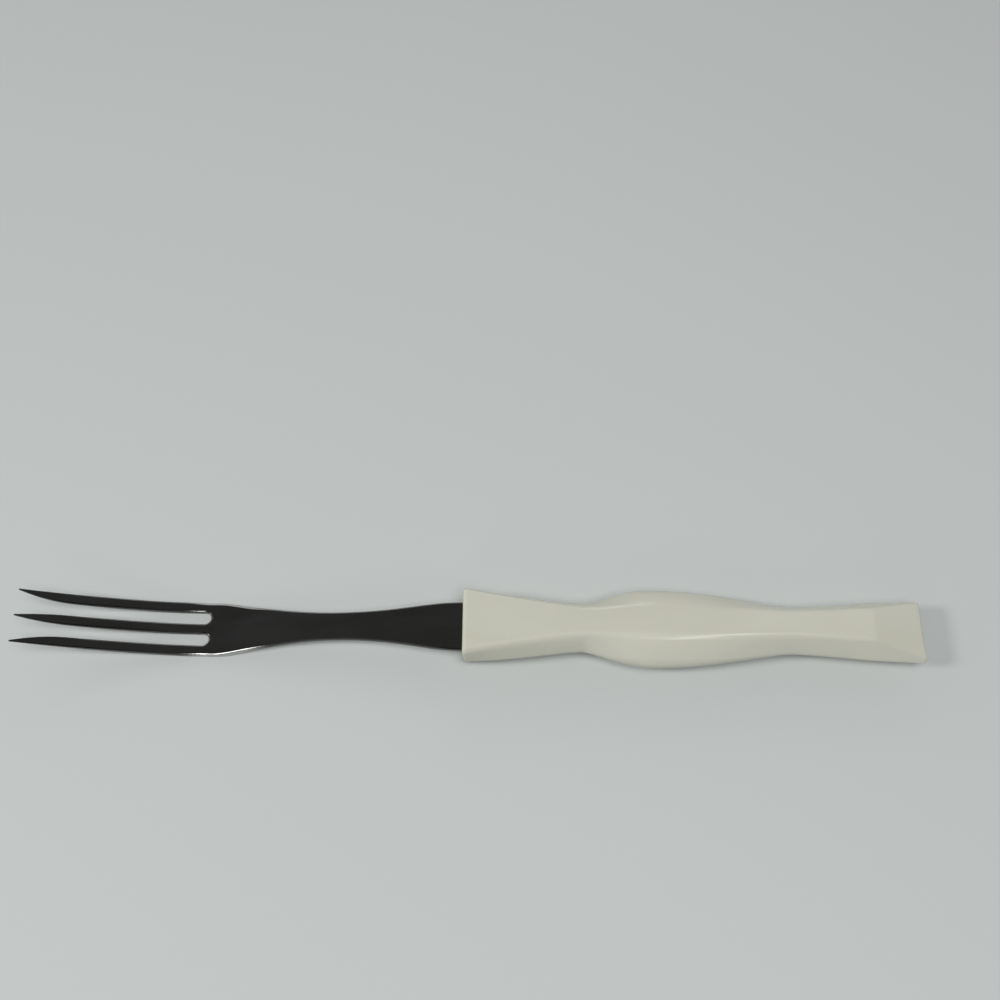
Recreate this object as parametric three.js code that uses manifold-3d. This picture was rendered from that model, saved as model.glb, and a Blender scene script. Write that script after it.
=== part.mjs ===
import * as THREE from "three";
import { mergeVertices } from "three/addons/utils/BufferGeometryUtils.js";
import Module from "manifold-3d";

// A three-tined meat fork. One stamped steel strip makes the tines, the crown, the hourglass shank and a hidden
// tang, and two moulded halves close over that tang on three blind pins.
// Millimetres. X runs from the tine tips to the butt, Y across the fork and Z up. The fork lies as on a table:
// its belly and the flat underside of its handle both touch the plane Z = 0.

// Clearance between pieces that seat on each other
const FIT_GAP = 0.3;

// Steel strip
const STEEL_THICKNESS = 2.2;
const TIP_THICKNESS = 0.9;
const THINNING_LENGTH = 38.0; // tip to where the strip has its full thickness

// Tines and crown, seen from above
const TINE_LENGTH = 58.1; // tip to the round bottom of a slot
const TINE_WIDTH = 3.0;
const TINE_GAP = 4.1;
const TINE_POINT_LENGTH = 16.0; // tip to where a tine has its full width
const TIP_WIDTH = 0.3;
const SHOULDER_WIDTH = 17.6;
const SHOULDER_SETBACK = 2.4; // widest place, behind the bottom of the slots
const SHOULDER_FLARE_LENGTH = 22.0; // stretch of the outer tines that widens into the shoulder

// Hourglass shank, seen from above
const CROWN_LENGTH = 40.3; // bottom of the slots to the neck
const NECK_WIDTH = 8.7;
const SHANK_LENGTH = 40.1; // neck to the front of the handle
const SHANK_END_WIDTH = 15.7;
const SHOULDER_EASE = 6.0; // how far each curve of the edge keeps its first direction
const NECK_FRONT_EASE = 19.0;
const NECK_REAR_EASE = 20.0;
const SHANK_END_EASE = 12.0;

// Bend of the strip, seen from the side
const BELLY_SETBACK = 56.0; // tip to the lowest place
const TIP_LIFT = 11.4; // tip above the belly, between mid-thicknesses
const TIP_ANGLE = 19.0; // degrees
const TIP_EASE = 14.0;
const BELLY_FRONT_EASE = 17.0;
const BELLY_REAR_EASE = 20.0;
const HANDLE_EASE = 56.0;

// Handle, as stretches from its front face to its butt
const FRONT_WEDGE_LENGTH = 37.5;
const SWELL_RISE_LENGTH = 22.5;
const SWELL_FALL_LENGTH = 43.5;
const REAR_WEDGE_LENGTH = 25.1;
const CHISEL_LENGTH = 17.0;

// Handle sections: full width, flat top, corner radius beside that flat and radius of the side
const HANDLE_THICKNESS = 14.2;
const FRONT_WIDTH = 20.9;
const FRONT_FLAT = 17.5;
const FRONT_CORNER = 1.5;
const FRONT_SIDE = 3.0;
const WAIST_WIDTH = 15.6;
const WAIST_FLAT = 6.3;
const WAIST_CORNER = 2.4;
const WAIST_SIDE = 2.5;
const SWELL_WIDTH = 25.3;
const SWELL_FLAT = 6.4;
const SWELL_CORNER = 5.5;
const SWELL_SIDE = 4.6;
const REAR_WAIST_WIDTH = 15.4;
const REAR_WAIST_FLAT = 6.2;
const REAR_WAIST_CORNER = 2.2;
const REAR_WAIST_SIDE = 2.5;
const CREASE_WIDTH = 19.0;
const CREASE_FLAT = 9.0;
const CREASE_CORNER = 1.6;
const CREASE_SIDE = 2.0;
const BUTT_WIDTH = 20.4;
const BUTT_FLAT = 17.4;
const BUTT_CORNER = 1.3;
const BUTT_SIDE = 1.5;
const BUTT_THICKNESS = 3.8;
const FRONT_EDGE_RADIUS = 1.3;
const BUTT_EDGE_RADIUS = 1.1;

// Hidden tang and its pins
const TANG_WIDTH = 8.4;
const TANG_TAPER_LENGTH = 28.0; // front of the handle to where the tang is parallel
const TANG_END_WALL = 27.0; // solid handle behind the tang
const PIN_DIAMETER = 3.2;
const PIN_LENGTH = 10.0;
const PIN_CHAMFER = 0.4;
const FRONT_PIN_SETBACK = 16.0; // from the front of the handle
const REAR_PIN_MARGIN = 11.0; // from the end of the tang

// Fineness of curves
const CURVE_STEPS = 10;
const SPINE_STEPS = 14;
const LOFT_STEP = 3.2;
const CORNER_STEPS = 5;
const SIDE_STEPS = 4;
const EDGE_STEPS = 3;
const PIN_SIDES = 20;

// Exponent of the curve by which the handle swells out of a waist
const SWELL_FULLNESS = 1.3;

// Points nearer than this are one point
const WELD_DISTANCE = 1e-4;

// Places along X, with the tips at zero
const slotEnd = TINE_LENGTH;
const shoulder = slotEnd + SHOULDER_SETBACK;
const neck = slotEnd + CROWN_LENGTH;
const handleFront = neck + SHANK_LENGTH;
const waist = handleFront + FRONT_WEDGE_LENGTH;
const swell = waist + SWELL_RISE_LENGTH;
const rearWaist = swell + SWELL_FALL_LENGTH;
const crease = rearWaist + REAR_WEDGE_LENGTH;
const butt = crease + CHISEL_LENGTH;
const tangEnd = butt - TANG_END_WALL;
const frontPin = handleFront + FRONT_PIN_SETBACK;
const rearPin = tangEnd - REAR_PIN_MARGIN;

// Heights
const bellyHeight = STEEL_THICKNESS / 2;
const midHeight = HANDLE_THICKNESS / 2;

// Across Y
const middleTineEdge = TINE_WIDTH / 2;
const outerTineInnerEdge = middleTineEdge + TINE_GAP;
const outerTineOuterEdge = outerTineInnerEdge + TINE_WIDTH;

const wasm = await Module();
wasm.setup();

/** Turns a closed three.js geometry into a solid that can be joined and cut. */
function solidFrom(geometry) {
  const bare = geometry.clone();
  bare.deleteAttribute("normal");
  bare.deleteAttribute("uv");
  const merged = mergeVertices(bare, WELD_DISTANCE);
  return new wasm.Manifold(
    new wasm.Mesh({
      numProp: 3,
      vertProperties: new Float32Array(merged.attributes.position.array),
      triVerts: new Uint32Array(merged.index.array),
    }),
  );
}

/** Turns a cut solid back into a named mesh with its own material. */
function meshFrom(name, solid, material) {
  const { vertProperties, triVerts } = solid.getMesh();
  const geometry = new THREE.BufferGeometry();
  geometry.setAttribute("position", new THREE.BufferAttribute(vertProperties, 3));
  geometry.setIndex(new THREE.BufferAttribute(triVerts, 1));
  geometry.computeVertexNormals();
  const mesh = new THREE.Mesh(geometry, material);
  mesh.name = name;
  return mesh;
}

/** Extrudes an outline drawn in X and Y upwards, from one height to another. */
function prism(outline, bottom, top) {
  const geometry = new THREE.ExtrudeGeometry(new THREE.Shape(outline), { depth: top - bottom, bevelEnabled: false });
  return solidFrom(geometry.translate(0, 0, bottom));
}

/** Doubles half an outline, given from axis to axis on the side of positive Y, into a closed one. */
function mirrored(half) {
  const other = half.slice(1, -1).reverse();
  return half.concat(other.map((point) => new THREE.Vector2(point.x, -point.y)));
}

/** Adds the tang's half outline to a path that stands at its end on the axis, with a clearance all round. */
function drawTang(path, clearance) {
  const half = TANG_WIDTH / 2 + clearance;
  const end = tangEnd + clearance;
  path.moveTo(end, 0);
  path.absarc(end - half, 0, half, 0, Math.PI / 2, false);
  path.lineTo(handleFront + TANG_TAPER_LENGTH, half);
  path.lineTo(handleFront, SHANK_END_WIDTH / 2 + clearance);
}

/** Draws the whole steel blank from above: tang, shank, shoulder, tines and slots. */
function steelOutline() {
  const path = new THREE.Path();
  drawTang(path, 0);
  const shankEdge = SHANK_END_WIDTH / 2;
  const neckEdge = NECK_WIDTH / 2;
  const shoulderEdge = SHOULDER_WIDTH / 2;
  path.bezierCurveTo(handleFront - SHANK_END_EASE, shankEdge, neck + NECK_REAR_EASE, neckEdge, neck, neckEdge);
  path.bezierCurveTo(neck - NECK_FRONT_EASE, neckEdge, shoulder + SHOULDER_EASE, shoulderEdge, shoulder, shoulderEdge);
  const flare = shoulder - SHOULDER_FLARE_LENGTH;
  const flareMiddle = shoulder - SHOULDER_FLARE_LENGTH / 2;
  path.bezierCurveTo(flareMiddle, shoulderEdge, flareMiddle, outerTineOuterEdge, flare, outerTineOuterEdge);
  path.lineTo(0, outerTineOuterEdge);
  path.lineTo(0, outerTineOuterEdge - TIP_WIDTH);
  path.quadraticCurveTo(TINE_POINT_LENGTH / 2, outerTineInnerEdge, TINE_POINT_LENGTH, outerTineInnerEdge);
  const slotRadius = TINE_GAP / 2;
  const slotCentre = slotEnd - slotRadius;
  path.lineTo(slotCentre, outerTineInnerEdge);
  path.absarc(slotCentre, middleTineEdge + slotRadius, slotRadius, Math.PI / 2, -Math.PI / 2, true);
  path.lineTo(TINE_POINT_LENGTH, middleTineEdge);
  path.quadraticCurveTo(TINE_POINT_LENGTH / 2, middleTineEdge, 0, TIP_WIDTH / 2);
  path.lineTo(0, 0);
  return mirrored(path.getPoints(CURVE_STEPS));
}

/** Traces the middle of the bent strip from the tips to the end of the tang, in X and Z. */
function steelSpine() {
  const tip = new THREE.Vector2(0, bellyHeight + TIP_LIFT);
  const belly = new THREE.Vector2(BELLY_SETBACK, bellyHeight);
  const mouth = new THREE.Vector2(handleFront, midHeight);
  const tines = new THREE.CubicBezierCurve(
    tip,
    new THREE.Vector2(TIP_EASE, tip.y - TIP_EASE * Math.tan(THREE.MathUtils.degToRad(TIP_ANGLE))),
    new THREE.Vector2(belly.x - BELLY_FRONT_EASE, belly.y),
    belly,
  );
  const shank = new THREE.CubicBezierCurve(
    belly,
    new THREE.Vector2(belly.x + BELLY_REAR_EASE, belly.y),
    new THREE.Vector2(mouth.x - HANDLE_EASE, mouth.y),
    mouth,
  );
  const tang = new THREE.Vector2(tangEnd, midHeight);
  return [...tines.getPoints(SPINE_STEPS), ...shank.getPoints(SPINE_STEPS).slice(1), tang];
}

/** Thickness of the strip at a distance from the tips: ground thin at the points, full behind them. */
function steelThickness(x) {
  const share = THREE.MathUtils.smoothstep(x, 0, THINNING_LENGTH);
  return THREE.MathUtils.lerp(TIP_THICKNESS, STEEL_THICKNESS, share);
}

/** Sweeps the strip's side profile across the fork, wider than any of its outlines. */
function bentStrip() {
  const spine = steelSpine();
  const upper = [];
  const lower = [];
  spine.forEach((point, i) => {
    const before = spine[Math.max(i - 1, 0)];
    const after = spine[Math.min(i + 1, spine.length - 1)];
    const slope = (after.y - before.y) / (after.x - before.x);
    const stretch = point === spine[SPINE_STEPS] ? 1 : Math.hypot(1, slope); // the belly itself is level
    const rise = (steelThickness(point.x) / 2) * stretch;
    upper.push(new THREE.Vector2(point.x, point.y + rise));
    lower.push(new THREE.Vector2(point.x, point.y - rise));
  });
  const width = SHOULDER_WIDTH + SHANK_END_WIDTH;
  const profile = new THREE.Shape(lower.concat(upper.reverse()));
  const geometry = new THREE.ExtrudeGeometry(profile, { depth: width, bevelEnabled: false });
  return solidFrom(geometry.rotateX(Math.PI / 2).translate(0, width / 2, 0));
}

/** Revolves an upright cylinder at a place along the handle, with chamfered ends. */
function pinSolid(x, diameter, length, chamfer) {
  const radius = diameter / 2;
  const profile = [
    new THREE.Vector2(0, -length / 2),
    new THREE.Vector2(radius - chamfer, -length / 2),
    new THREE.Vector2(radius, chamfer - length / 2),
    new THREE.Vector2(radius, length / 2 - chamfer),
    new THREE.Vector2(radius - chamfer, length / 2),
    new THREE.Vector2(0, length / 2),
  ];
  const geometry = new THREE.LatheGeometry(profile, PIN_SIDES);
  return solidFrom(geometry.rotateX(Math.PI / 2).translate(x, 0, midHeight));
}

/** Hole that a pin drops into, in the tang or in the sockets of the handle. */
function pinHole(x) {
  return pinSolid(x, PIN_DIAMETER + 2 * FIT_GAP, PIN_LENGTH + 2 * FIT_GAP, PIN_CHAMFER);
}

/** A handle section: a flat top, rounded corners beside it and a round side, alike above and below. */
function handleSection(width, flat, corner, side, thickness) {
  return { width, flat, corner, side, thickness };
}

/** Mixes two sections, the width by its own share and the rest evenly. */
function mixSections(a, b, share, widthShare) {
  const mixed = {};
  for (const key of Object.keys(a)) {
    mixed[key] = THREE.MathUtils.lerp(a[key], b[key], key === "width" ? widthShare : share);
  }
  return mixed;
}

/** Rise of the handle's side from a waist, from 0 to 1: quick at first, then flattening to the widest place. */
function swellShare(distance) {
  return Math.sin((Math.PI / 2) * distance) ** SWELL_FULLNESS;
}

const frontSection = handleSection(FRONT_WIDTH, FRONT_FLAT, FRONT_CORNER, FRONT_SIDE, HANDLE_THICKNESS);
const waistSection = handleSection(WAIST_WIDTH, WAIST_FLAT, WAIST_CORNER, WAIST_SIDE, HANDLE_THICKNESS);
const swellSection = handleSection(SWELL_WIDTH, SWELL_FLAT, SWELL_CORNER, SWELL_SIDE, HANDLE_THICKNESS);
const rearWaistSection = handleSection(
  REAR_WAIST_WIDTH,
  REAR_WAIST_FLAT,
  REAR_WAIST_CORNER,
  REAR_WAIST_SIDE,
  HANDLE_THICKNESS,
);
const creaseSection = handleSection(CREASE_WIDTH, CREASE_FLAT, CREASE_CORNER, CREASE_SIDE, HANDLE_THICKNESS);
const buttSection = handleSection(BUTT_WIDTH, BUTT_FLAT, BUTT_CORNER, BUTT_SIDE, BUTT_THICKNESS);

const handleSpans = [
  { from: handleFront, to: waist, a: frontSection, b: waistSection, ease: (t) => 1 - swellShare(1 - t) },
  { from: waist, to: swell, a: waistSection, b: swellSection, ease: swellShare },
  { from: swell, to: rearWaist, a: swellSection, b: rearWaistSection, ease: (t) => 1 - swellShare(1 - t) },
  { from: rearWaist, to: crease, a: rearWaistSection, b: creaseSection, ease: (t) => t ** SWELL_FULLNESS },
  { from: crease, to: butt, a: creaseSection, b: buttSection, ease: (t) => t },
];

/** The handle's section at a place along it. */
function sectionAt(x) {
  const span = handleSpans.find(({ to }) => x <= to) ?? handleSpans.at(-1);
  const share = (x - span.from) / (span.to - span.from);
  return mixSections(span.a, span.b, share, span.ease(share));
}

/** One closed ring of points round a section, shrunk evenly by an inset, in Y and Z about the handle's middle. */
function sectionRing(section, inset) {
  const cornerY = section.flat / 2;
  const cornerZ = section.thickness / 2 - section.corner;
  const sideY = section.width / 2 - section.side;
  const reach = Math.hypot(sideY - cornerY, cornerZ);
  const heading = Math.atan2(-cornerZ, sideY - cornerY);
  const lean = Math.acos(THREE.MathUtils.clamp((section.corner - section.side) / reach, -1, 1));
  const turn = THREE.MathUtils.clamp(heading + lean, 0, Math.PI / 2);
  const quarter = [];
  for (let i = 0; i <= SIDE_STEPS; i += 1) {
    const angle = (turn * i) / SIDE_STEPS;
    const radius = section.side - inset;
    quarter.push([sideY + radius * Math.cos(angle), radius * Math.sin(angle)]);
  }
  for (let i = 0; i <= CORNER_STEPS; i += 1) {
    const angle = THREE.MathUtils.lerp(turn, Math.PI / 2, i / CORNER_STEPS);
    const radius = section.corner - inset;
    quarter.push([cornerY + radius * Math.cos(angle), cornerZ + radius * Math.sin(angle)]);
  }
  const upper = quarter.concat(quarter.toReversed().map(([y, z]) => [-y, z]));
  return upper.concat(upper.slice(1, -1).toReversed().map(([y, z]) => [y, -z]));
}

/** Places of the loft's rings: the rounded front edge, even steps along each stretch and the rounded butt. */
function loftRings() {
  const rings = [];
  for (let i = 0; i <= EDGE_STEPS; i += 1) {
    const angle = (Math.PI / 2) * (i / EDGE_STEPS);
    const x = handleFront + FRONT_EDGE_RADIUS * (1 - Math.cos(angle));
    rings.push({ x, inset: FRONT_EDGE_RADIUS * (1 - Math.sin(angle)) });
  }
  for (const { from, to } of handleSpans) {
    const start = Math.max(from, handleFront + FRONT_EDGE_RADIUS);
    const end = Math.min(to, butt - BUTT_EDGE_RADIUS);
    const steps = Math.max(Math.round((end - start) / LOFT_STEP), 1);
    for (let i = 1; i <= steps; i += 1) {
      rings.push({ x: THREE.MathUtils.lerp(start, end, i / steps), inset: 0 });
    }
  }
  for (let i = 1; i <= EDGE_STEPS; i += 1) {
    const angle = (Math.PI / 2) * (i / EDGE_STEPS);
    const x = butt - BUTT_EDGE_RADIUS * (1 - Math.sin(angle));
    rings.push({ x, inset: BUTT_EDGE_RADIUS * (1 - Math.cos(angle)) });
  }
  return rings;
}

/** Lofts the whole grip, before it is parted and hollowed. */
function handleLoft() {
  const rings = loftRings().map(({ x, inset }) => ({ x, points: sectionRing(sectionAt(x), inset) }));
  const count = rings[0].points.length;
  const positions = [];
  for (const { x, points } of rings) {
    for (const [y, z] of points) positions.push(x, y, midHeight + z);
  }
  const index = [];
  for (let r = 0; r + 1 < rings.length; r += 1) {
    for (let i = 0; i < count; i += 1) {
      const a = r * count + i;
      const b = r * count + ((i + 1) % count);
      index.push(a, b, a + count, b, b + count, a + count);
    }
  }
  const last = (rings.length - 1) * count;
  for (let i = 1; i + 1 < count; i += 1) {
    index.push(0, i + 1, i, last, last + i, last + i + 1);
  }
  const geometry = new THREE.BufferGeometry();
  geometry.setAttribute("position", new THREE.Float32BufferAttribute(positions, 3));
  geometry.setIndex(index);
  return solidFrom(geometry);
}

/** Pocket for the tang, open at the front face of the handle. */
function tangPocket() {
  const path = new THREE.Path();
  drawTang(path, FIT_GAP);
  const mouth = SHANK_END_WIDTH / 2 + FIT_GAP;
  const ahead = handleFront - FRONT_EDGE_RADIUS;
  path.lineTo(ahead, mouth);
  path.lineTo(ahead, 0);
  const reach = STEEL_THICKNESS / 2 + FIT_GAP;
  return prism(mirrored(path.getPoints(CURVE_STEPS)), midHeight - reach, midHeight + reach);
}

/** Everything above or below the parting plane of the handle, with half the gap taken off. */
function partingBlock(side) {
  const length = butt - handleFront;
  const width = FRONT_WIDTH + SWELL_WIDTH + BUTT_WIDTH;
  const block = new THREE.BoxGeometry(2 * length, width, HANDLE_THICKNESS);
  const lift = (HANDLE_THICKNESS + FIT_GAP) / 2;
  return solidFrom(block.translate(handleFront + length / 2, 0, midHeight + side * lift));
}

const steelFinish = { color: 0xb4b7b5, roughness: 0.16, metalness: 1.0 };
const ivoryFinish = { color: 0xd8d5c6, roughness: 0.28, metalness: 0.0 };
const pinFinish = { color: 0xa9abaa, roughness: 0.35, metalness: 1.0 };

const pinPlaces = {
  tang_pin_front: frontPin,
  tang_pin_middle: (frontPin + rearPin) / 2,
  tang_pin_rear: rearPin,
};
const holes = Object.values(pinPlaces).map(pinHole);

const aboveTips = bellyHeight + TIP_LIFT + STEEL_THICKNESS;
let steel = bentStrip().intersect(prism(steelOutline(), -STEEL_THICKNESS, aboveTips));
let grip = handleLoft().subtract(tangPocket());
for (const hole of holes) {
  steel = steel.subtract(hole);
  grip = grip.subtract(hole);
}

const handle = new THREE.Group();
handle.add(meshFrom("handle_upper_half", grip.intersect(partingBlock(1)), new THREE.MeshStandardMaterial(ivoryFinish)));
handle.add(meshFrom("handle_lower_half", grip.intersect(partingBlock(-1)), new THREE.MeshStandardMaterial(ivoryFinish)));

const blade = new THREE.Group();
blade.add(meshFrom("fork_steel", steel, new THREE.MeshStandardMaterial(steelFinish)));
for (const [name, x] of Object.entries(pinPlaces)) {
  const pin = pinSolid(x, PIN_DIAMETER, PIN_LENGTH, PIN_CHAMFER);
  blade.add(meshFrom(name, pin, new THREE.MeshStandardMaterial(pinFinish)));
}

// The part's own frame has its origin on the table, under the middle of the fork's length.
const fork = new THREE.Group();
fork.add(blade, handle);
fork.position.x = -butt / 2;

const part = new THREE.Group();
part.add(fork);

export default part;
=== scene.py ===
"""A meat fork: a polished steel strip with upswept tines, held in a moulded ivory handle."""

import logging
import math
from collections.abc import Callable
from dataclasses import dataclass
from enum import Enum

import bmesh
import bpy
from mathutils import Euler, Matrix, Vector
from mathutils.geometry import interpolate_bezier


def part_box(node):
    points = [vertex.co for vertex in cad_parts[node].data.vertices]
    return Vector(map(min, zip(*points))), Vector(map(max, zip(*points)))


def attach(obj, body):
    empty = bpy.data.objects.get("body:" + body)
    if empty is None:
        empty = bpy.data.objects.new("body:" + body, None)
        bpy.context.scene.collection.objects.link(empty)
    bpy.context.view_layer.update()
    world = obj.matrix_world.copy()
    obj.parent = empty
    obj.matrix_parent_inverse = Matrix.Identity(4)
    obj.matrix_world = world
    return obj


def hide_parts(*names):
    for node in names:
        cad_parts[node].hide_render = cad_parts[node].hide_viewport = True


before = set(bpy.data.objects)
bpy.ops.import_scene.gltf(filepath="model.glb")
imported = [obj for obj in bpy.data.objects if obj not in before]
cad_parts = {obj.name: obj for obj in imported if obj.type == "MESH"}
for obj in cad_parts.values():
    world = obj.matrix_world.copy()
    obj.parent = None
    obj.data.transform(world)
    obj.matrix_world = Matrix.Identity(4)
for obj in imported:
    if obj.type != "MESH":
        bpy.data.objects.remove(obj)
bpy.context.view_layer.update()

log = logging.getLogger("meat_fork")

MM = 0.001
WELD = 0.001
CUT_SLACK = 0.0001
ROUNDING_SLACK = 1.02

Ease = Callable[[float], float]
Colour = tuple[float, float, float]


class Half(Enum):
    """The two mouldings that close over the tang."""

    UPPER = 1
    LOWER = -1


class TineColumn(Enum):
    """Lines along the steel, counted from its axis outwards."""

    AXIS = 0
    MIDDLE_EDGE = 1
    INNER_EDGE = 2
    OUTER_EDGE = 3


@dataclass(frozen=True)
class Track:
    """A line drawn as points of rising x, read as a height over x."""

    points: tuple[tuple[float, float], ...]

    def at(self, x: float) -> float:
        """Read the line's height.

        Args:
            x: Distance along the line, in millimetres.

        Returns:
            The height there, held at the ends.
        """
        if x <= self.points[0][0]:
            return self.points[0][1]
        for (x0, y0), (x1, y1) in zip(self.points, self.points[1:]):
            if x <= x1:
                return y0 + (y1 - y0) * (x - x0) / (x1 - x0)
        return self.points[-1][1]

    def slope(self, x: float, reach: float = 0.5) -> float:
        """Read the line's slope over a short reach on both sides of x."""
        return (self.at(x + reach) - self.at(x - reach)) / (2.0 * reach)


def bezier_points(corners: list[tuple[float, float]], steps: int = 40) -> list[tuple[float, float]]:
    """Sample one cubic curve.

    Args:
        corners: Its two ends with the two handles between them, in millimetres.
        steps: Number of points.

    Returns:
        The points from the first end to the last.
    """
    knots = [Vector(corner) for corner in corners]
    return [(point.x, point.y) for point in interpolate_bezier(*knots, steps)]


def smooth_share(share: float) -> float:
    """Ease a share that runs from 0 to 1 in and out."""
    held = min(max(share, 0.0), 1.0)
    return held * held * (3.0 - 2.0 * held)


def mixed(a: float, b: float, share: float) -> float:
    """Mix two values by a share of the second."""
    return a + (b - a) * share


def new_verts(made: dict) -> list[bmesh.types.BMVert]:
    """List the vertices that an operator made."""
    return [item for item in made["geom"] if isinstance(item, bmesh.types.BMVert)]


def edges_within(made: dict, verts: list[bmesh.types.BMVert]) -> list[bmesh.types.BMEdge]:
    """List the edges that an operator made between the vertices it made.

    Args:
        made: What the operator gave back.
        verts: The vertices it made.

    Returns:
        The edges with both ends among those vertices.
    """
    inside = set(verts)
    edges = [item for item in made["geom"] if isinstance(item, bmesh.types.BMEdge)]
    return [edge for edge in edges if inside.issuperset(edge.verts)]


def sharp_edges(bm: bmesh.types.BMesh, least_angle: float) -> list[bmesh.types.BMEdge]:
    """List the edges that turn by more than an angle in radians."""
    return [edge for edge in bm.edges if edge.calc_face_angle(0.0) > least_angle]


def finish_piece(bm: bmesh.types.BMesh, name: str, nodes: list[str]) -> bpy.types.Object:
    """Turn a modelled piece in millimetres into an object that rides on the fork.

    Args:
        bm: The piece, which is freed.
        name: Name of the object.
        nodes: The solids that the piece stands for.

    Returns:
        The new object.
    """
    bmesh.ops.scale(bm, vec=(MM, MM, MM), verts=bm.verts)
    bmesh.ops.recalc_face_normals(bm, faces=bm.faces)
    for face in bm.faces:
        face.smooth = True
    mesh = bpy.data.meshes.new(name)
    bm.to_mesh(mesh)
    bm.free()
    piece = bpy.data.objects.new(name, mesh)
    bpy.context.scene.collection.objects.link(piece)
    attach(piece, "root")
    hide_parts(*nodes)
    log.info("%s: %d faces", name, len(mesh.polygons))
    return piece


class NodeBench:
    """Lays out the shader nodes of one material."""

    def __init__(self, name: str) -> None:
        """Start a material with only its surface shader.

        Args:
            name: Name of the material.
        """
        self.material = bpy.data.materials.new(name)
        self.material.use_nodes = True
        self.tree = self.material.node_tree
        self.shader = self.tree.nodes["Principled BSDF"]
        self.place = self.tree.nodes.new("ShaderNodeTexCoord").outputs["Object"]

    def stretched(self, scale: tuple[float, float, float]) -> bpy.types.NodeSocket:
        """Give object coordinates with a scale for each axis.

        Args:
            scale: Cells in a metre along each axis.

        Returns:
            The coordinates' socket.
        """
        mapping = self.tree.nodes.new("ShaderNodeMapping")
        mapping.inputs["Scale"].default_value = scale
        self.tree.links.new(self.place, mapping.inputs["Vector"])
        return mapping.outputs["Vector"]

    def noise(self, scale: tuple[float, float, float], detail: float,
              twist: float = 0.0) -> bpy.types.NodeSocket:
        """Give a noise value over the piece.

        Args:
            scale: Cells in a metre along each axis.
            detail: Number of finer layers.
            twist: How much the noise folds into itself.

        Returns:
            The noise's value socket.
        """
        node = self.tree.nodes.new("ShaderNodeTexNoise")
        node.inputs["Scale"].default_value = 1.0
        node.inputs["Detail"].default_value = detail
        node.inputs["Distortion"].default_value = twist
        self.tree.links.new(self.stretched(scale), node.inputs["Vector"])
        return node.outputs["Fac"]

    def ranged(self, value: bpy.types.NodeSocket, low: float, high: float, to_low: float,
               to_high: float) -> bpy.types.NodeSocket:
        """Stretch a value from one range to another, held at its ends.

        Args:
            value: The value's socket.
            low: Start of the first range.
            high: End of the first range.
            to_low: Start of the second range.
            to_high: End of the second range.

        Returns:
            The stretched value's socket.
        """
        node = self.tree.nodes.new("ShaderNodeMapRange")
        for key, number in (("From Min", low), ("From Max", high), ("To Min", to_low), ("To Max", to_high)):
            node.inputs[key].default_value = number
        self.tree.links.new(value, node.inputs["Value"])
        return node.outputs["Result"]

    def sum_of(self, a: bpy.types.NodeSocket, b: bpy.types.NodeSocket) -> bpy.types.NodeSocket:
        """Add two values.

        Args:
            a: The first value's socket.
            b: The second value's socket.

        Returns:
            The sum's socket.
        """
        node = self.tree.nodes.new("ShaderNodeMath")
        node.operation = "ADD"
        self.tree.links.new(a, node.inputs[0])
        self.tree.links.new(b, node.inputs[1])
        return node.outputs["Value"]

    def toned(self, colour: bpy.types.NodeSocket, tone: bpy.types.NodeSocket) -> bpy.types.NodeSocket:
        """Multiply one colour by another.

        Args:
            colour: The colour's socket.
            tone: The second colour's socket.

        Returns:
            The product's socket.
        """
        node = self.tree.nodes.new("ShaderNodeMix")
        node.data_type = "RGBA"
        node.blend_type = "MULTIPLY"
        node.inputs["Factor"].default_value = 1.0
        self.tree.links.new(colour, node.inputs["A"])
        self.tree.links.new(tone, node.inputs["B"])
        return node.outputs["Result"]

    def ramp(self, value: bpy.types.NodeSocket, stops: list[tuple[float, Colour]]) -> bpy.types.NodeSocket:
        """Turn a value into a colour.

        Args:
            value: The value, from 0 to 1.
            stops: Places on the ramp with their linear colours.

        Returns:
            The colour socket.
        """
        node = self.tree.nodes.new("ShaderNodeValToRGB")
        elements = node.color_ramp.elements
        while len(elements) < len(stops):
            elements.new(0.5)
        for element, (position, colour) in zip(elements, stops):
            element.position = position
            element.color = (*colour, 1.0)
        self.tree.links.new(value, node.inputs["Fac"])
        return node.outputs["Color"]

    def attribute(self, name: str) -> bpy.types.NodeSocket:
        """Give a value that the piece's own mesh carries.

        Args:
            name: The attribute's name.

        Returns:
            The value's socket.
        """
        node = self.tree.nodes.new("ShaderNodeAttribute")
        node.attribute_name = name
        return node.outputs["Fac"]

    def bump(self, height: bpy.types.NodeSocket, strength: float, distance: float) -> None:
        """Shape the surface by a height.

        Args:
            height: The height's value socket.
            strength: Share of the full effect.
            distance: Height in metres of a value of 1.
        """
        node = self.tree.nodes.new("ShaderNodeBump")
        node.inputs["Strength"].default_value = strength
        node.inputs["Distance"].default_value = distance
        self.tree.links.new(height, node.inputs["Height"])
        self.tree.links.new(node.outputs["Normal"], self.shader.inputs["Normal"])

    def feed(self, socket: str, value: bpy.types.NodeSocket) -> None:
        """Link a value to one socket of the surface shader."""
        self.tree.links.new(value, self.shader.inputs[socket])

    def fix(self, **numbers: float) -> None:
        """Set plain numbers on the surface shader, with spaces in names written as underscores."""
        for key, number in numbers.items():
            self.shader.inputs[key.replace("_", " ")].default_value = number


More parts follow.
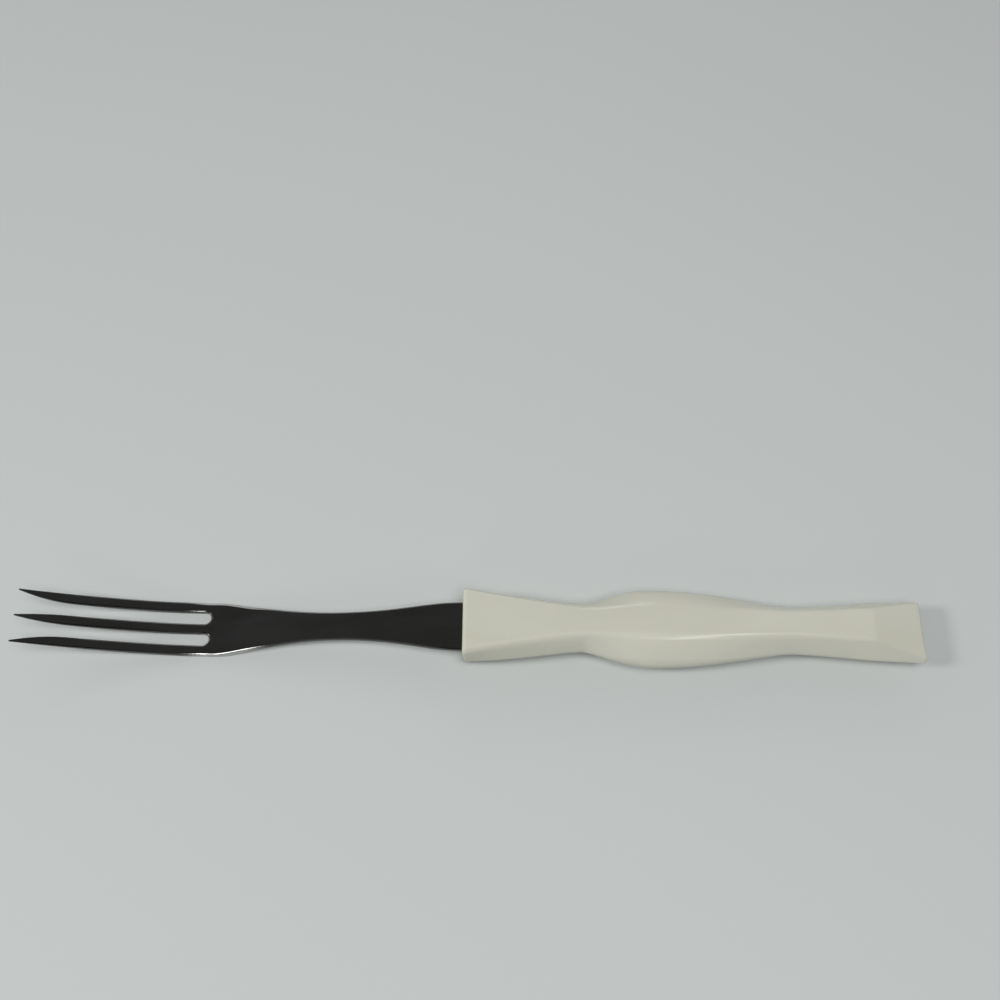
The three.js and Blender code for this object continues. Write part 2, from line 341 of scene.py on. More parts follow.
@dataclass(frozen=True)
class PolishedSteel:
    """Mirror-polished stainless strip with hairline scratches and faint smears, and painted shade that darkens its cut
    edges.
    """

    name: str = "polished_steel"
    bright: Colour = (0.60, 0.60, 0.585)
    dull: Colour = (0.50, 0.50, 0.48)
    unshaded: Colour = (1.0, 1.0, 1.0)
    # Painted shade: the near-black tone the cut edges are darkened by, standing in for the dark reflections they show.
    painted_shade_tone: Colour = (0.06, 0.06, 0.055)
    cut_roughness: float = 0.12
    smear_cells: tuple[float, float, float] = (38.0, 120.0, 120.0)
    smear_twist: float = 0.6
    hairline_cells: tuple[float, float, float] = (90.0, 5200.0, 5200.0)
    hairline_strength: float = 0.10
    hairline_height: float = 0.00004
    finest: float = 0.07
    coarsest: float = 0.15

    def build(self) -> bpy.types.Material:
        """Make the material.

        Returns:
            The steel's material.
        """
        bench = NodeBench(self.name)
        smears = bench.noise(self.smear_cells, 4.0, self.smear_twist)
        hairlines = bench.noise(self.hairline_cells, 2.0)
        # The mesh attribute read here carries painted shade: the cut edges are darkened towards near black, except on
        # the buffed shoulders.
        cut = bench.attribute("painted_rim_shade")
        surface = bench.ramp(smears, [(0.30, self.dull), (0.62, self.bright)])
        painted_edge_shade = bench.ramp(cut, [(0.0, self.unshaded), (1.0, self.painted_shade_tone)])
        bench.feed("Base Color", bench.toned(surface, painted_edge_shade))
        polish = bench.ranged(smears, 0.30, 0.75, self.finest, self.coarsest)
        bench.feed("Roughness", bench.sum_of(polish, bench.ranged(cut, 0.0, 1.0, 0.0, self.cut_roughness)))
        bench.bump(hairlines, self.hairline_strength, self.hairline_height)
        bench.fix(Metallic=1.0)
        return bench.material


@dataclass(frozen=True)
class IvoryPlastic:
    """Glossy moulded plastic, ivory with faint cloudy swirls."""

    name: str = "ivory_plastic"
    light: Colour = (0.556, 0.556, 0.476)
    deep: Colour = (0.528, 0.524, 0.440)
    cloud_cells: tuple[float, float, float] = (18.0, 60.0, 60.0)
    cloud_twist: float = 0.5
    handling_cells: tuple[float, float, float] = (60.0, 80.0, 80.0)
    grain_cells: tuple[float, float, float] = (900.0, 900.0, 900.0)
    grain_strength: float = 0.06
    grain_height: float = 0.00005
    glossiest: float = 0.16
    dullest: float = 0.23
    refraction: float = 1.49
    glow: float = 0.12
    glow_depth: float = 0.0018

    def build(self) -> bpy.types.Material:
        """Make the material.

        Returns:
            The plastic's material.
        """
        bench = NodeBench(self.name)
        clouds = bench.noise(self.cloud_cells, 2.0, self.cloud_twist)
        handling = bench.noise(self.handling_cells, 1.0)
        grain = bench.noise(self.grain_cells, 3.0)
        bench.feed("Base Color", bench.ramp(clouds, [(0.28, self.deep), (0.66, self.light)]))
        bench.feed("Roughness", bench.ranged(handling, 0.25, 0.75, self.glossiest, self.dullest))
        bench.bump(grain, self.grain_strength, self.grain_height)
        bench.fix(IOR=self.refraction, Subsurface_Weight=self.glow, Subsurface_Scale=self.glow_depth)
        return bench.material


@dataclass(frozen=True)
class SatinPin:
    """Drawn steel wire, cut and left satin."""

    name: str = "pin_steel"
    bright: Colour = (0.52, 0.52, 0.51)
    dull: Colour = (0.40, 0.40, 0.39)
    draw_cells: tuple[float, float, float] = (4200.0, 4200.0, 260.0)
    draw_strength: float = 0.15
    draw_height: float = 0.00005
    finest: float = 0.28
    coarsest: float = 0.46

    def build(self) -> bpy.types.Material:
        """Make the material.

        Returns:
            The pins' material.
        """
        bench = NodeBench(self.name)
        drawn = bench.noise(self.draw_cells, 3.0)
        bench.feed("Base Color", bench.ramp(drawn, [(0.30, self.dull), (0.70, self.bright)]))
        bench.feed("Roughness", bench.ranged(drawn, 0.25, 0.75, self.finest, self.coarsest))
        bench.bump(drawn, self.draw_strength, self.draw_height)
        bench.fix(Metallic=1.0)
        return bench.material


@dataclass
class ForkSteel:
    """One stamped strip: tines, crown, hourglass shank and hidden tang.

    Sizes are in millimetres and places are counted from the tips.
    """

    thickness: float = 2.2
    tip_thickness: float = 0.9
    thinning_length: float = 38.0
    tine_length: float = 58.1
    tine_width: float = 3.0
    tine_gap: float = 4.1
    point_length: float = 16.0
    tip_width: float = 0.3
    shoulder_width: float = 17.6
    shoulder_setback: float = 2.4
    flare_length: float = 22.0
    shoulder_ease: float = 6.0
    neck_width: float = 8.7
    neck_front_ease: float = 19.0
    neck_rear_ease: float = 20.0
    crown_length: float = 40.3
    shank_length: float = 40.1
    shank_end_width: float = 15.7
    shank_end_ease: float = 12.0
    web_length: float = 16.0
    web_share: float = 0.5
    belly_setback: float = 56.0
    tip_lift: float = 11.4
    tip_angle: float = 19.0
    tip_ease: float = 14.0
    belly_front_ease: float = 17.0
    belly_rear_ease: float = 20.0
    mouth_ease: float = 56.0
    mouth_height: float = 7.1
    tang_width: float = 8.4
    tang_taper_length: float = 28.0
    tang_length: float = 118.6
    upper_round: float = 0.5
    lower_round: float = 0.4
    buff_setback: float = 3.0
    buff_reach: float = 15.0
    buff_growth: float = 1.3
    buff_hold: float = 1.6
    # Where the painted shade on the strip's edges begins and how quickly it deepens as a face turns away from flat.
    rim_shade_start: float = 0.99
    rim_shade_range: float = 0.16
    sharp_angle: float = 50.0
    normal_weight: int = 80
    edge_segments: int = 4
    row_step: float = 1.3
    slot_rows: int = 9

    def __post_init__(self) -> None:
        """Work out places along the strip and its two leading lines."""
        self.slot_radius = self.tine_gap / 2.0
        self.slot_centre = self.tine_length - self.slot_radius
        self.middle_edge = self.tine_width / 2.0
        self.slot_axis = self.middle_edge + self.slot_radius
        self.outer_edge = self.middle_edge + self.tine_gap + self.tine_width
        self.shoulder = self.tine_length + self.shoulder_setback
        self.neck = self.tine_length + self.crown_length
        self.mouth = self.neck + self.shank_length
        self.tang_end = self.mouth + self.tang_length
        self.outline = self._draw_outline()
        self.spine = self._draw_spine()

    def _draw_outline(self) -> Track:
        """Draw half the strip's outline from above.

        Returns:
            The outline from the tips to the end of the tang.
        """
        shoulder = self.shoulder_width / 2.0
        neck = self.neck_width / 2.0
        mouth = self.shank_end_width / 2.0
        tang = self.tang_width / 2.0
        flare = self.shoulder - self.flare_length
        middle = self.shoulder - self.flare_length / 2.0
        points = [(0.0, self.outer_edge)]
        points += bezier_points([(flare, self.outer_edge), (middle, self.outer_edge), (middle, shoulder),
                                 (self.shoulder, shoulder)])
        points += bezier_points([(self.shoulder, shoulder), (self.shoulder + self.shoulder_ease, shoulder),
                                 (self.neck - self.neck_front_ease, neck), (self.neck, neck)])[1:]
        points += bezier_points([(self.neck, neck), (self.neck + self.neck_rear_ease, neck),
                                 (self.mouth - self.shank_end_ease, mouth), (self.mouth, mouth)])[1:]
        points += [(self.mouth + self.tang_taper_length, tang), (self.tang_end - tang, tang)]
        turns = [math.radians(angle) for angle in range(10, 90, 10)]
        points += [(self.tang_end - tang + tang * math.sin(turn), tang * math.cos(turn)) for turn in turns]
        return Track(tuple(points))

    def _draw_spine(self) -> Track:
        """Draw the strip's bend from the side.

        Returns:
            The line at the middle of the strip's thickness, from the tips to past the tang.
        """
        low = self.thickness / 2.0
        tip = low + self.tip_lift
        belly = self.belly_setback
        fall = self.tip_ease * math.tan(math.radians(self.tip_angle))
        mouth = self.mouth_height
        points = bezier_points([(0.0, tip), (self.tip_ease, tip - fall),
                                (belly - self.belly_front_ease, low), (belly, low)])
        points += bezier_points([(belly, low), (belly + self.belly_rear_ease, low),
                                 (self.mouth - self.mouth_ease, mouth), (self.mouth, mouth)])[1:]
        points += [(self.tang_end + 1.0, mouth)]
        return Track(tuple(points))

    def _rows(self) -> list[float]:
        """List the places of the rows that the blank is extruded through.

        Returns:
            The places, from the end of the tang to the tips.
        """
        tang = self.tang_width / 2.0
        last = self.tang_end - tang
        rows = [last + tang * math.sin(math.radians(angle)) for angle in (80, 60, 40, 20, 0)]
        solid = self.tine_length
        steps = round((last - solid) / self.row_step)
        rows += [mixed(last, solid, step / steps) for step in range(1, steps + 1)]
        turns = [math.pi / 2.0 * (1.0 - step / self.slot_rows) for step in range(1, self.slot_rows + 1)]
        rows += [self.slot_centre + self.slot_radius * math.sin(turn) for turn in turns]
        steps = round(self.slot_centre / self.row_step)
        rows += [mixed(self.slot_centre, 0.0, step / steps) for step in range(1, steps + 1)]
        return rows

    def _across(self, x: float, column: TineColumn) -> float:
        """Find how far from the axis a line along the blank lies.

        Args:
            x: Distance from the tips.
            column: The line.

        Returns:
            Its distance from the axis, in millimetres.
        """
        edge = self.outline.at(x)
        if column is TineColumn.AXIS:
            return 0.0
        if column is TineColumn.OUTER_EDGE:
            return edge
        if x >= self.tine_length:
            web = smooth_share((x - self.tine_length) / self.web_length)
            return mixed(self.slot_axis, edge * self.web_share, web)
        depth = max(x - self.slot_centre, 0.0)
        opening = math.sqrt(max(self.slot_radius ** 2 - depth ** 2, 0.0))
        return self.slot_axis + opening * (1.0 if column is TineColumn.INNER_EDGE else -1.0)

    def _blank(self) -> bmesh.types.BMesh:
        """Extrude the flat blank row by row from the end of the tang, then mirror and thicken it.

        Returns:
            The flat strip, with its middle plane at height 0.
        """
        bm = bmesh.new()
        column = bm.verts.layers.int.new("column")
        rows = self._rows()
        start = []
        for line in (TineColumn.AXIS, TineColumn.MIDDLE_EDGE, TineColumn.OUTER_EDGE):
            vert = bm.verts.new((rows[0], self._across(rows[0], line), 0.0))
            vert[column] = line.value
            start.append(vert)
        strips = [[bm.edges.new(start[:2]), bm.edges.new(start[1:])]]
        for x in rows[1:]:
            if x < self.tine_length and len(strips) == 1:
                strips = [[edge] for edge in strips[0]]
            strips = [self._extruded(bm, column, strip, x, index == 1) for index, strip in enumerate(strips)]
        bmesh.ops.mirror(bm, geom=bm.verts[:] + bm.edges[:] + bm.faces[:], axis="Y", merge_dist=WELD)
        bmesh.ops.recalc_face_normals(bm, faces=bm.faces)
        raised = bmesh.ops.extrude_face_region(bm, geom=bm.faces[:])
        bmesh.ops.translate(bm, vec=(0.0, 0.0, self.thickness), verts=new_verts(raised))
        bmesh.ops.translate(bm, vec=(0.0, 0.0, -self.thickness / 2.0), verts=bm.verts)
        bmesh.ops.recalc_face_normals(bm, faces=bm.faces)
        return bm

    def _extruded(self, bm: bmesh.types.BMesh, column: bmesh.types.BMLayerItem, strip: list[bmesh.types.BMEdge],
                  x: float, outer_tine: bool) -> list[bmesh.types.BMEdge]:
        """Extrude one strip of the blank to its next row.

        Args:
            bm: The blank.
            column: Layer that says on which line a vertex lies.
            strip: The edges of the last row.
            x: Place of the next row.
            outer_tine: Whether the strip is an outer tine.

        Returns:
            The edges of the next row.
        """
        made = bmesh.ops.extrude_edge_only(bm, edges=strip)
        verts = new_verts(made)
        for vert in verts:
            if outer_tine and vert[column] == TineColumn.MIDDLE_EDGE.value:
                vert[column] = TineColumn.INNER_EDGE.value
            vert.co = (x, self._across(x, TineColumn(vert[column])), 0.0)
        return edges_within(made, verts)

    def _point_tines(self, bm: bmesh.types.BMesh) -> None:
        """Grind the tines to points, the outer ones on their inner sides only.

        Args:
            bm: The flat strip.
        """
        for vert in bm.verts:
            if vert.co.x < self.point_length:
                short = (1.0 - max(vert.co.x, 0.0) / self.point_length) ** 2
                share = 1.0 - short * (1.0 - self.tip_width / self.tine_width)
                side = math.copysign(self.outer_edge, vert.co.y)
                anchor = side if abs(vert.co.y) > self.slot_axis else 0.0
                vert.co.y = mixed(anchor, vert.co.y, share)

    def _bend(self, bm: bmesh.types.BMesh) -> None:
        """Thin the strip towards the tips and bend it along its spine.

        Args:
            bm: The flat strip with pointed tines.
        """
        for vert in bm.verts:
            x = vert.co.x
            kept = mixed(self.tip_thickness, self.thickness, smooth_share(x / self.thinning_length))
            stretch = math.hypot(1.0, self.spine.slope(x))
            vert.co.z = self.spine.at(x) + vert.co.z * kept / self.thickness * stretch

    def _buffed(self, x: float) -> float:
        """Find how much the strip's outer edge is buffed at a distance from the tips."""
        away = abs(x - self.shoulder - self.buff_setback) / self.buff_reach
        return smooth_share(self.buff_hold * (1.0 - away))

    def _round_shoulders(self, bm: bmesh.types.BMesh) -> None:
        """Widen the rounding of the upper edge where the shoulders are buffed.

        Args:
            bm: The flat strip with rounded edges.
        """
        reach = self.upper_round * ROUNDING_SLACK
        for vert in bm.verts:
            edge = self.outline.at(vert.co.x)
            inwards = edge - abs(vert.co.y)
            down = self.thickness / 2.0 - vert.co.z
            if inwards <= reach and down <= reach:
                growth = 1.0 + self.buff_growth * self._buffed(vert.co.x)
                vert.co.y = math.copysign(edge - inwards * growth, vert.co.y)
                vert.co.z = self.thickness / 2.0 - down * growth

    def _painted_rim_shade_share(self, face: bmesh.types.BMFace) -> float:
        """Find how much painted shade darkens a face of the flat strip: the cut edges are painted dark, standing in for
        the dark reflections they show, except on the buffed shoulders, where their glint is left bright.

        Args:
            face: A face of the strip before it is bent.

        Returns:
            A share of painted shade, from 0 on the faces and the shoulders' edges to 1 on the other cut edges.
        """
        centre = face.calc_center_median()
        turned = smooth_share((self.rim_shade_start - abs(face.normal.z)) / self.rim_shade_range)
        if abs(centre.y) < self.outer_edge - self.tine_width:
            return turned
        return turned * (1.0 - self._buffed(centre.x))

    def _round_edges(self, bm: bmesh.types.BMesh, level: float, radius: float) -> None:
        """Round the edges of one face of the flat strip.

        Args:
            bm: The flat strip.
            level: 1 for the upper face, -1 for the lower one.
            radius: Radius of the rounding.
        """
        sharp = sharp_edges(bm, math.radians(self.sharp_angle))
        middle = self.thickness / 4.0
        edges = [edge for edge in sharp if all(vert.co.z * level > middle for vert in edge.verts)]
        bmesh.ops.bevel(bm, geom=edges, offset=radius, offset_type="OFFSET", segments=self.edge_segments,
                        profile=0.5, affect="EDGES", clamp_overlap=False, loop_slide=False, material=-1)

    def build(self, finish: PolishedSteel) -> bpy.types.Object:
        """Model the strip and dress it.

        Args:
            finish: The steel's finish.

        Returns:
            The piece that stands for the steel.
        """
        bm = self._blank()
        self._round_edges(bm, 1.0, self.upper_round)
        self._round_edges(bm, -1.0, self.lower_round)
        self._round_shoulders(bm)
        # Each face carries a share of painted shade: the cut edges are painted dark, except on the buffed shoulders.
        painted_rim_shade = bm.faces.layers.float.new("painted_rim_shade")
        bm.normal_update()
        for face in bm.faces:
            face[painted_rim_shade] = self._painted_rim_shade_share(face)
        self._point_tines(bm)
        self._bend(bm)
        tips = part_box("fork_steel")[0].x / MM
        bmesh.ops.translate(bm, vec=(tips, 0.0, 0.0), verts=bm.verts)
        piece = finish_piece(bm, "steel_strip", ["fork_steel"])
        piece.data.materials.append(finish.build())
        normals = piece.modifiers.new("even_normals", "WEIGHTED_NORMAL")
        normals.weight = self.normal_weight
        return piece


@dataclass(frozen=True)
class Section:
    """A section of the handle: flat top and bottom, rounded corners beside them and round sides.

    Sizes are in millimetres. A quarter of it is walked from 0 at the middle of the side to 2 at the middle of the flat.
    """

    width: float
    flat: float
    corner: float
    side: float
    thickness: float
    oval: float = 0.0
    side_end: float = 0.6
    corner_end: float = 1.6

    def mixed_with(self, other: "Section", share: float, width_share: float, flat_share: float) -> "Section":
        """Mix two sections.

        Args:
            other: The second section.
            share: Share of the second one's radii and thickness.
            width_share: Share of its width.
            flat_share: Share of its flat.

        Returns:
            The section between them.
        """
        return Section(
            mixed(self.width, other.width, width_share),
            mixed(self.flat, other.flat, flat_share),
            mixed(self.corner, other.corner, share),
            mixed(self.side, other.side, share),
            mixed(self.thickness, other.thickness, share),
            mixed(self.oval, other.oval, share),
        )

    def point(self, place: float, inset: float) -> tuple[float, float]:
        """Find a point on a quarter of the section, between its faceted form and a plain oval.

        Args:
            place: From 0 at the middle of the side to 2 at the middle of the flat.
            inset: How far the section is shrunk, evenly.

        Returns:
            Distances across and up from the section's middle.
        """
        y, z = self._faceted(place, inset)
        turn = math.atan2(z / self.thickness, y / self.width)
        oval_y = (self.width / 2.0 - inset) * math.cos(turn)
        oval_z = (self.thickness / 2.0 - inset) * math.sin(turn)
        return mixed(y, oval_y, self.oval), mixed(z, oval_z, self.oval)

    def _faceted(self, place: float, inset: float) -> tuple[float, float]:
        """Find a point on a quarter of the section with its flat, corner and side.

        Args:
            place: From 0 at the middle of the side to 2 at the middle of the flat.
            inset: How far the section is shrunk, evenly.

        Returns:
            Distances across and up from the section's middle.
        """
        corner_y = self.flat / 2.0
        corner_z = self.thickness / 2.0 - self.corner
        side_y = self.width / 2.0 - self.side
        reach = math.hypot(side_y - corner_y, corner_z)
        lean = math.acos(min(max((self.corner - self.side) / reach, -1.0), 1.0))
        turn = min(max(math.atan2(-corner_z, side_y - corner_y) + lean, 0.0), math.pi / 2.0)
        if place <= self.side_end:
            angle = turn * place / self.side_end
            radius = self.side - inset
            return side_y + radius * math.cos(angle), radius * math.sin(angle)
        if place <= self.corner_end:
            share = (place - self.side_end) / (self.corner_end - self.side_end)
            angle = mixed(turn, math.pi / 2.0, share)
            radius = self.corner - inset
            return corner_y + radius * math.cos(angle), corner_z + radius * math.sin(angle)
        return corner_y * (2.0 - place) / (2.0 - self.corner_end), corner_z + self.corner - inset


@dataclass
class MouldedHandle:
    """The ivory grip: flat front wedge, waist, palm swell, rear waist and chisel butt.

    Sizes are in millimetres and places are counted from the grip's front.
    """

    front_above: Section = Section(22.4, 18.0, 2.1, 2.2, 14.2)
    front_below: Section = Section(22.4, 16.2, 2.2, 2.2, 14.2)
    waist: Section = Section(15.6, 6.0, 3.0, 2.5, 14.2, 0.25)
    swell: Section = Section(25.3, 6.4, 5.5, 4.6, 14.2, 1.0)
    rear_waist: Section = Section(15.4, 5.4, 2.8, 2.5, 14.2, 0.25)
    crease: Section = Section(19.0, 9.0, 1.6, 2.0, 14.2)
    butt: Section = Section(20.4, 17.4, 1.3, 1.5, 3.8)
    front_wedge_length: float = 37.5
    swell_rise_length: float = 22.5
    swell_fall_length: float = 43.5
    rear_wedge_length: float = 25.1
    chisel_length: float = 17.0
    front_edge_radius: float = 1.3
    butt_edge_radius: float = 1.1
    parting_gap: float = 0.08
    parting_round: float = 0.10
    fullness: float = 1.3
    settling: float = 1.18
    ring_step: float = 0.75
    quarter_steps: int = 20
    edge_rings: int = 6
    end_inset: float = 0.25

    def _swell_share(self, share: float) -> float:
        """Ease the handle's side out of a waist: quick at first, then flattening to the widest place."""
        return math.sin(math.pi / 2.0 * min(max(share, 0.0), 1.0)) ** self.fullness

    def _spans(self, half: Half) -> list[tuple[float, Section, Section, Ease, Ease, Ease]]:
        """List the stretches of one half of the grip.

        Args:
            half: Which half.

        Returns:
            For each stretch its length, first and last section, and the eases of radii, width and flat.
        """
        rise = self._swell_share
        front = self.front_above if half is Half.UPPER else self.front_below

        def fall(share: float) -> float:
            """Ease towards a waist."""
            return 1.0 - rise(1.0 - share)

        def plain(share: float) -> float:
            """Keep an even taper."""
            return share

        def landing(share: float) -> float:
            """Keep an even taper that settles at its end."""
            return 1.0 - (1.0 - share) ** self.settling

        def start(share: float) -> float:
            """Start slowly, then taper evenly."""
            return share ** self.fullness

        return [
            (self.front_wedge_length, front, self.waist, plain, fall, landing),
            (self.swell_rise_length, self.waist, self.swell, smooth_share, rise, smooth_share),
            (self.swell_fall_length, self.swell, self.rear_waist, smooth_share, fall, smooth_share),
            (self.rear_wedge_length, self.rear_waist, self.crease, plain, start, start),
            (self.chisel_length, self.crease, self.butt, plain, plain, plain),
        ]

    def length(self) -> float:
        """Add up the handle's stretches."""
        return sum(span[0] for span in self._spans(Half.UPPER))

    def section_at(self, x: float, half: Half) -> Section:
        """Find the section of one half of the grip.

        Args:
            x: Distance from the handle's front.
            half: Which half.

        Returns:
            The section there, held at the butt.
        """
        start = 0.0
        for length, first, last, ease, width_ease, flat_ease in self._spans(half):
            if x <= start + length:
                share = (x - start) / length
                return first.mixed_with(last, ease(share), width_ease(share), flat_ease(share))
            start += length
        return self.butt

    def _rings(self) -> list[tuple[float, float]]:
        """List the rings of the grip: rounded front edge, even steps, rounded butt.

        Returns:
            For each ring its distance from the front and how far its section is shrunk.
        """
        turns = [math.pi / 2.0 * step / self.edge_rings for step in range(self.edge_rings + 1)]
        front = self.front_edge_radius
        rear = self.butt_edge_radius
        rings = [(front * (1.0 - math.cos(turn)), front * (1.0 - math.sin(turn))) for turn in turns]
        length = self.length()
        crease = length - self.chisel_length
        for begin, end in ((front, crease), (crease, length - rear)):
            steps = round((end - begin) / self.ring_step)
            rings += [(mixed(begin, end, step / steps), 0.0) for step in range(1, steps + 1)]
        rings += [(length - rear * (1.0 - math.sin(turn)), rear * (1.0 - math.cos(turn))) for turn in turns[1:]]
        return rings

    def _shape_ring(self, verts: list[bmesh.types.BMVert], place: bmesh.types.BMLayerItem, x: float,
                    inset: float) -> None:
        """Move a ring's vertices on to the handle's section.

        Args:
            verts: The ring's vertices.
            place: Layer that counts the vertices round the ring.
            x: Distance from the handle's front.
            inset: How far the section is shrunk.
        """
        sections = {half: self.section_at(x, half) for half in Half}
        count = 4 * self.quarter_steps
        for vert in verts:
            turn = 4.0 * (vert[place] % count) / count
            quarter = int(turn)
            share = turn - quarter
            along = 2.0 * (share if quarter % 2 == 0 else 1.0 - share)
            half = Half.LOWER if quarter in (2, 3) else Half.UPPER
            y, z = sections[half].point(along, inset)
            vert.co = (x, -y if quarter in (1, 2) else y, -z if quarter in (2, 3) else z)

    def _grip(self) -> bmesh.types.BMesh:
        """Extrude the whole grip ring by ring and close its ends.

        Returns:
            The closed grip, with its middle plane at height 0.
        """
        bm = bmesh.new()
        bmesh.ops.create_circle(bm, cap_ends=False, radius=1.0, segments=4 * self.quarter_steps)
        place = bm.verts.layers.int.new("place")
        ring = list(bm.verts)
        for index, vert in enumerate(ring):
            vert[place] = index
        rings = self._rings()
        edges = bm.edges[:]
        self._shape_ring(ring, place, *rings[0])
        ends = bmesh.ops.edgeloop_fill(bm, edges=edges)["faces"]
        for x, inset in rings[1:]:
            made = bmesh.ops.extrude_edge_only(bm, edges=edges)
            verts = new_verts(made)
            self._shape_ring(verts, place, x, inset)
            edges = edges_within(made, verts)
        ends += bmesh.ops.edgeloop_fill(bm, edges=edges)["faces"]
        bmesh.ops.inset_individual(bm, faces=ends, thickness=self.end_inset)
        bmesh.ops.recalc_face_normals(bm, faces=bm.faces)
        return bm

    def build_half(self, half: Half, material: bpy.types.Material) -> bpy.types.Object:
        """Part one moulding off the grip and dress it.

        Args:
            half: Which moulding.
            material: Its finish.

        Returns:
            The piece that stands for that half.
        """
        bm = self._grip()
        up = float(half.value)
        parting = (0.0, 0.0, up * self.parting_gap / 2.0)
        cut = bmesh.ops.bisect_plane(bm, geom=bm.verts[:] + bm.edges[:] + bm.faces[:], dist=CUT_SLACK,
                                     plane_co=parting, plane_no=(0.0, 0.0, up), clear_inner=True,
                                     clear_outer=False)
        loop = [item for item in cut["geom_cut"] if isinstance(item, bmesh.types.BMEdge)]
        face = bmesh.ops.edgeloop_fill(bm, edges=loop)["faces"][0]
        bmesh.ops.bevel(bm, geom=list(face.edges), offset=self.parting_round, offset_type="OFFSET", segments=2,
                        profile=0.5, affect="EDGES", clamp_overlap=False, material=-1)
        name = half.name.lower()
        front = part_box(f"handle_{name}_half")[0].x / MM
        bmesh.ops.translate(bm, vec=(front, 0.0, self.front_above.thickness / 2.0), verts=bm.verts)
        piece = finish_piece(bm, f"grip_{name}", [f"handle_{name}_half"])
        piece.data.materials.append(material)
        return piece


@dataclass
class TangPins:
    """The blind pins through the tang, sealed in the handle."""

    nodes: tuple[str, ...] = ("tang_pin_front", "tang_pin_middle", "tang_pin_rear")

    def dress(self, finish: SatinPin) -> None:
        """Give the pins their finish.

        Args:
            finish: The pins' finish.
        """
        material = finish.build()
        for name in self.nodes:
            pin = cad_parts[name]
            pin.data.materials.clear()
            pin.data.materials.append(material)
            log.info("%s: dressed", name)


@dataclass(frozen=True)
class Lamp:
    """A soft oval lamp. Metres and watts."""

    name: str
    place: tuple[float, float, float]
    size: float
    power: float
    mirrored: bool = True
    tallness: float = 1.0

    def hang(self) -> None:
        """Hang the lamp and point it at the middle of the table."""
        data = bpy.data.lights.new(self.name, "AREA")
        data.shape = "ELLIPSE"
        data.size = self.size
        data.size_y = self.size * self.tallness
        data.energy = self.power
        lamp = bpy.data.objects.new(self.name, data)
        lamp.visible_glossy = self.mirrored
        lamp.location = self.place
        lamp.rotation_euler = Vector(self.place).to_track_quat("Z", "Y").to_euler()
        bpy.context.scene.collection.objects.link(lamp)


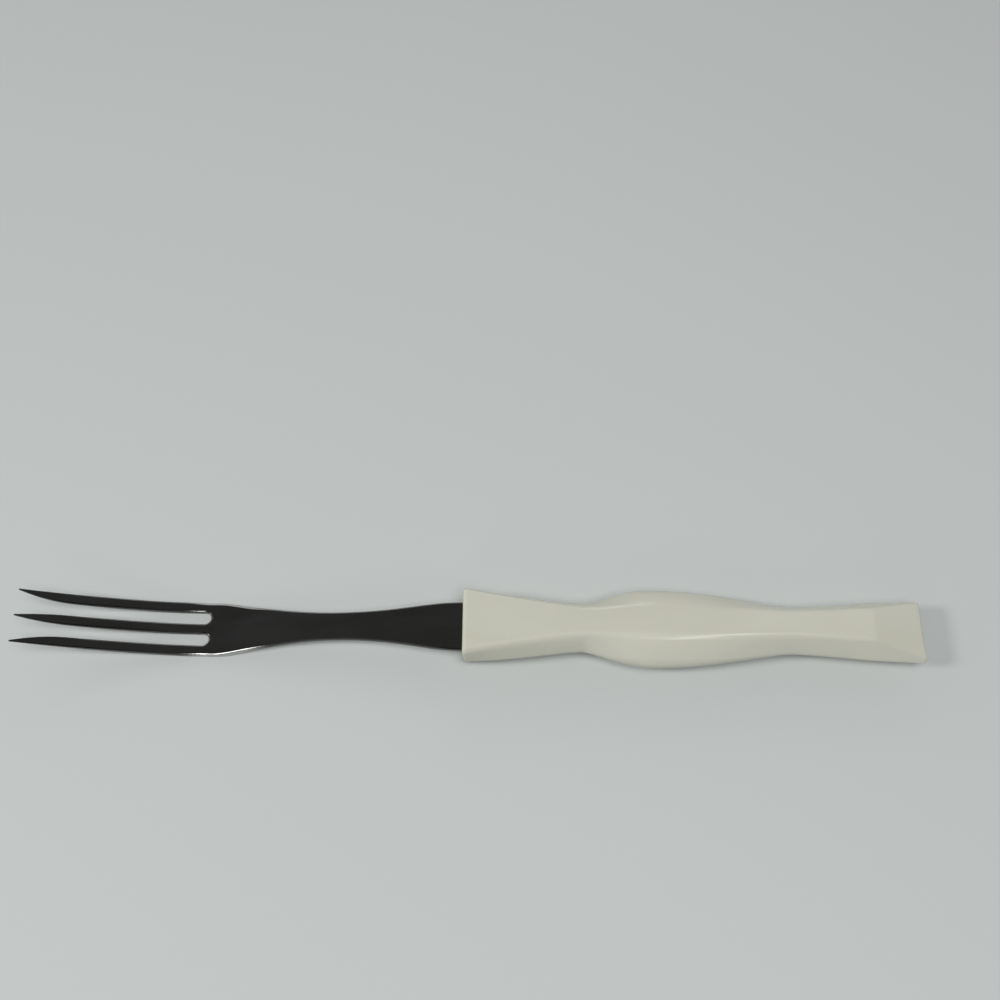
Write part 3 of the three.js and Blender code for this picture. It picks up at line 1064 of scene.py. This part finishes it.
@dataclass
class Studio:
    """A pale table under soft side light, with a dark ceiling that the polished steel mirrors.

    The table is measured in metres, the camera's place and sensor in millimetres, its turn in degrees.
    """

    table_colour: Colour = (0.515, 0.540, 0.530)
    table_roughness: float = 0.62
    table_size: float = 2.0
    ceiling: float = 0.034
    walls: float = 0.60
    ceiling_middle: tuple[float, float] = (0.0, -0.30)
    ceiling_reach: tuple[float, float] = (0.85, 1.05)
    ceiling_edge: tuple[float, float] = (0.88, 1.12)
    lens: float = 41.4
    sensor: float = 36.0
    nearest: float = 10.0
    camera_place: tuple[float, float, float] = (1.25, -122.59, 350.68)
    camera_turn: tuple[float, float, float] = (25.929, -1.282, 0.342)
    lamps: tuple[Lamp, ...] = (
        Lamp("soft_box", (0.12, -0.36, 1.30), 0.8, 11.2, mirrored=False),
        Lamp("left_lamp", (-1.5, -0.22, 1.10), 0.40, 13.0),
        Lamp("back_lamp", (0.12, 1.25, 0.60), 0.20, 0.5),
        Lamp("front_lamp", (-0.32, -1.05, 0.55), 0.20, 1.1, tallness=2.5),
        Lamp("top_lamp", (0.34, -0.26, 1.25), 0.10, 0.45),
    )

    def _table(self) -> None:
        """Lay the table."""
        bm = bmesh.new()
        bmesh.ops.create_grid(bm, x_segments=1, y_segments=1, size=self.table_size / 2.0)
        mesh = bpy.data.meshes.new("table")
        bm.to_mesh(mesh)
        bm.free()
        table = bpy.data.objects.new("table", mesh)
        bpy.context.scene.collection.objects.link(table)
        bench = NodeBench("table_paint")
        bench.fix(Roughness=self.table_roughness)
        bench.shader.inputs["Base Color"].default_value = (*self.table_colour, 1.0)
        mesh.materials.append(bench.material)

    def _room(self) -> None:
        """Light the room: bright back and sides, a dark ceiling and front, and a pale backdrop."""
        world = bpy.data.worlds.new("room")
        world.use_nodes = True
        bpy.context.scene.world = world
        tree = world.node_tree
        sight = tree.nodes.new("ShaderNodeTexCoord")
        oval = tree.nodes.new("ShaderNodeMapping")
        oval.vector_type = "TEXTURE"
        oval.inputs["Location"].default_value = (*self.ceiling_middle, 0.0)
        oval.inputs["Scale"].default_value = (*self.ceiling_reach, 1000.0)
        away = tree.nodes.new("ShaderNodeVectorMath")
        away.operation = "LENGTH"
        ramp = tree.nodes.new("ShaderNodeMapRange")
        ramp.interpolation_type = "SMOOTHSTEP"
        ramp.inputs["From Min"].default_value, ramp.inputs["From Max"].default_value = self.ceiling_edge
        ramp.inputs["To Min"].default_value = self.ceiling
        ramp.inputs["To Max"].default_value = self.walls
        tree.links.new(sight.outputs["Generated"], oval.inputs["Vector"])
        tree.links.new(oval.outputs["Vector"], away.inputs[0])
        tree.links.new(away.outputs["Value"], ramp.inputs["Value"])
        light = tree.nodes["Background"]
        light.inputs["Color"].default_value = (1.0, 1.0, 1.0, 1.0)
        tree.links.new(ramp.outputs["Result"], light.inputs["Strength"])
        backdrop = tree.nodes.new("ShaderNodeBackground")
        backdrop.inputs["Color"].default_value = (*self.table_colour, 1.0)
        choice = tree.nodes.new("ShaderNodeMixShader")
        path = tree.nodes.new("ShaderNodeLightPath")
        tree.links.new(path.outputs["Is Camera Ray"], choice.inputs["Fac"])
        tree.links.new(light.outputs["Background"], choice.inputs[1])
        tree.links.new(backdrop.outputs["Background"], choice.inputs[2])
        tree.links.new(choice.outputs["Shader"], tree.nodes["World Output"].inputs["Surface"])

    def _camera(self) -> None:
        """Set up the camera where the fork is seen from above its near side."""
        data = bpy.data.cameras.new("camera")
        data.sensor_width = self.sensor
        data.lens = self.lens
        data.clip_start = self.nearest * MM
        camera = bpy.data.objects.new("camera", data)
        turn = Euler([math.radians(angle) for angle in self.camera_turn], "XYZ")
        place = Vector(self.camera_place) * MM
        camera.matrix_world = Matrix.Translation(place) @ turn.to_matrix().to_4x4()
        bpy.context.scene.collection.objects.link(camera)
        bpy.context.scene.camera = camera

    def build(self) -> None:
        """Set the stage, the light and the camera."""
        bpy.context.scene.view_settings.view_transform = "Standard"
        self._table()
        self._room()
        for lamp in self.lamps:
            lamp.hang()
        self._camera()
        log.info("studio: %d lamps", len(self.lamps))


def main() -> None:
    """Build the fork's pieces in order, then the studio."""
    logging.basicConfig(level=logging.INFO)
    ForkSteel().build(PolishedSteel())
    handle = MouldedHandle()
    ivory = IvoryPlastic().build()
    for half in Half:
        handle.build_half(half, ivory)
    TangPins().dress(SatinPin())
    Studio().build()


if __name__ == "__main__":
    main()
